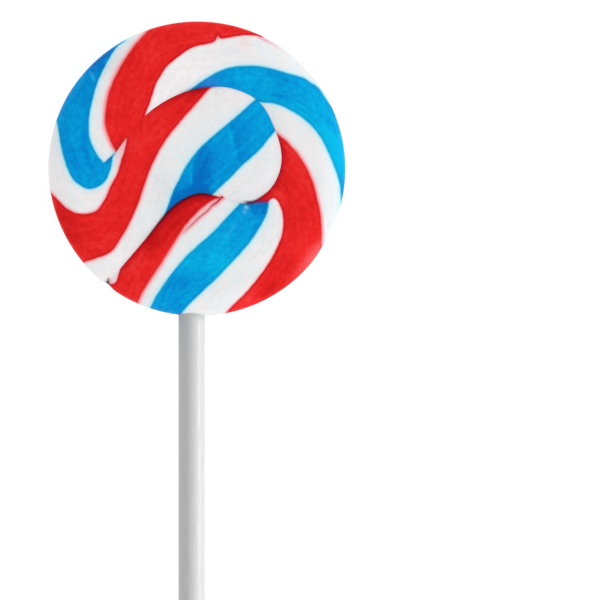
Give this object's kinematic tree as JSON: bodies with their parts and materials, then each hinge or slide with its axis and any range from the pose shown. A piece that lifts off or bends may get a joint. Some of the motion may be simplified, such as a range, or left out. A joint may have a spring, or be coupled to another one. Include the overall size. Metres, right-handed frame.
{
  "type": "swirl lollipop",
  "caption": "Flat round hard-candy lollipop, a red, white and blue striped rope folded into a swirl, on a straight white paper stick.",
  "frame": {"origin": "middle of the disc's flat back, which lies on the table", "axes": "+Z out of the swirl face, +Y away from the stick, which points along -Y"},
  "size_m": [0.0502, 0.1699, 0.01],
  "materials": {
    "candy": "gloss",
    "stick": "matte"
  },
  "bodies": {
    "root": {"candy": "candy", "stick": "stick"}
  },
  "joints": []
}
